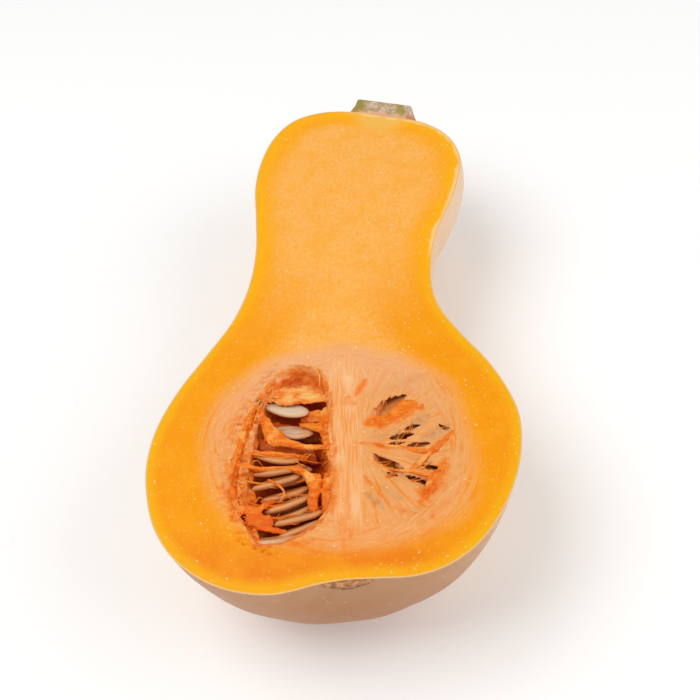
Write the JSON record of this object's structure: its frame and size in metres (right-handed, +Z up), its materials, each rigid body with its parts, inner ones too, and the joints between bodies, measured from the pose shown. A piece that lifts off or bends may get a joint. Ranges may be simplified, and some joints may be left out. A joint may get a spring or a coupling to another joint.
{
  "type": "halved butternut squash",
  "caption": "Butternut squash half, cut lengthwise, resting on its rind with the seed pockets, pulp web, seeds and stem stub showing on the cut face.",
  "frame": {"origin": "under the middle of the footprint, on the surface that the half rests on", "axes": "+Z up, out of the cut face; +Y along the fruit towards the stem; +X to the right with the bulb towards the viewer"},
  "size_m": [0.1262, 0.2451, 0.0535],
  "materials": {
    "flesh": "moist cut flesh, satin",
    "rind": "smooth waxy skin, satin",
    "pulp": "moist fibrous, satin",
    "seed_coat": "smooth dry, satin",
    "stem": "rough and corky"
  },
  "bodies": {
    "root": {"fruit_half": "flesh", "stem": "stem", "pulp_left": "pulp", "pulp_right": "pulp", "seeds_left": "seed_coat", "seeds_right": "seed_coat"}
  },
  "joints": []
}
